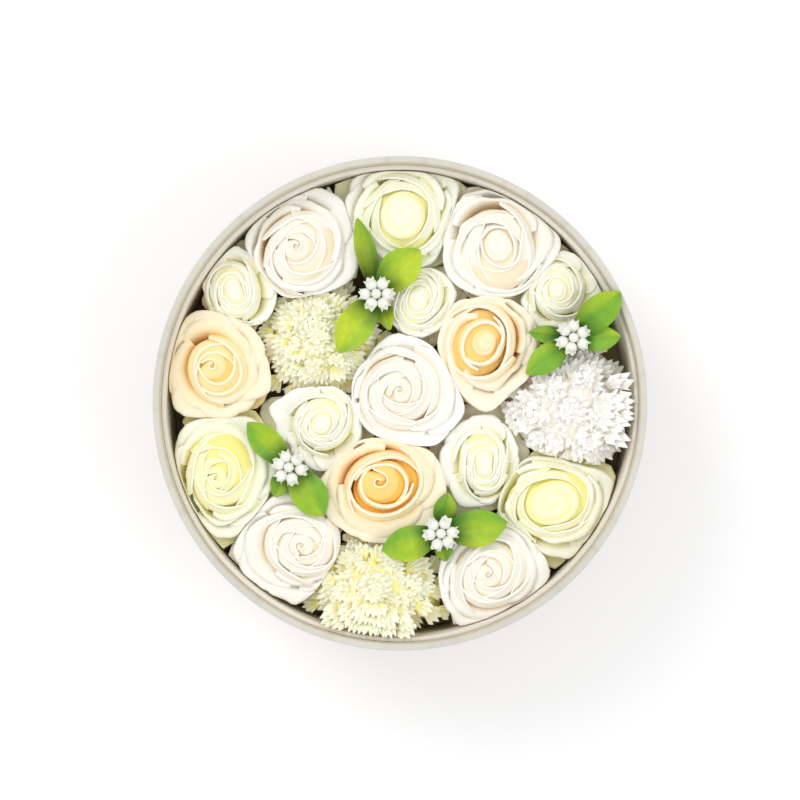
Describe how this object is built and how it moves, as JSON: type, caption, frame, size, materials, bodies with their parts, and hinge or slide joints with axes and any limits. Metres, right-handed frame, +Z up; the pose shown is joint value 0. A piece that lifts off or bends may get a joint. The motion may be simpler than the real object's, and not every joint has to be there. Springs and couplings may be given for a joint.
{
  "type": "flower hat box",
  "caption": "Round board box without a lid, filled to the rim with artificial roses, carnations and leafy sprigs with white berry heads.",
  "frame": {"origin": "centre of the box's underside", "axes": "+Z up out of the box's mouth, +Y towards the top of the picture, +X to its right"},
  "size_m": [0.22, 0.22, 0.0936],
  "materials": {
    "wrapped_board": "pale grey-beige paper wrap, matte",
    "lining_board": "pinkish-grey paper, matte",
    "foam": "dark open-cell foam",
    "white_petals": "soft waxy petals, warm white",
    "green_white_petals": "soft waxy petals, pale green-yellow",
    "peach_petals": "soft waxy petals, peach to gold",
    "pale_petals": "soft waxy petals, greenish white",
    "cream_petals": "thin waxy petals, cream-yellow",
    "snow_petals": "thin waxy petals, pure white",
    "leaves": "moulded leaves, yellow-green, soft sheen",
    "berries": "moulded white buds"
  },
  "bodies": {
    "root": {"box_wall": "wrapped_board", "box_lining": "lining_board", "box_base": "wrapped_board", "foam_block": "foam", "rose_white_1": "white_petals", "rose_white_1_calyx": "leaves", "rose_white_2": "white_petals", "rose_white_2_calyx": "leaves", "rose_white_3": "white_petals", "rose_white_3_calyx": "leaves", "rose_white_4": "white_petals", "rose_white_4_calyx": "leaves", "rose_white_5": "white_petals", "rose_white_5_calyx": "leaves", "rose_green_1": "green_white_petals", "rose_green_1_calyx": "leaves", "rose_green_2": "green_white_petals", "rose_green_2_calyx": "leaves", "rose_green_3": "green_white_petals", "rose_green_3_calyx": "leaves", "rose_peach_1": "peach_petals", "rose_peach_1_calyx": "leaves", "rose_peach_2": "peach_petals", "rose_peach_2_calyx": "leaves", "rose_peach_3": "peach_petals", "rose_peach_3_calyx": "leaves", "rose_small_1": "pale_petals", "rose_small_1_calyx": "leaves", "rose_small_2": "pale_petals", "rose_small_2_calyx": "leaves", "rose_small_3": "pale_petals", "rose_small_3_calyx": "leaves", "rose_small_4": "pale_petals", "rose_small_4_calyx": "leaves", "rose_small_5": "pale_petals", "rose_small_5_calyx": "leaves", "carnation_cream_1": "cream_petals", "carnation_cream_1_calyx": "leaves", "carnation_cream_2": "cream_petals", "carnation_cream_2_calyx": "leaves", "carnation_white": "snow_petals", "carnation_white_calyx": "leaves", "sprig_1_leaves": "leaves", "sprig_1_berries": "berries", "sprig_2_leaves": "leaves", "sprig_2_berries": "berries", "sprig_3_leaves": "leaves", "sprig_3_berries": "berries", "sprig_4_leaves": "leaves", "sprig_4_berries": "berries"}
  },
  "joints": []
}
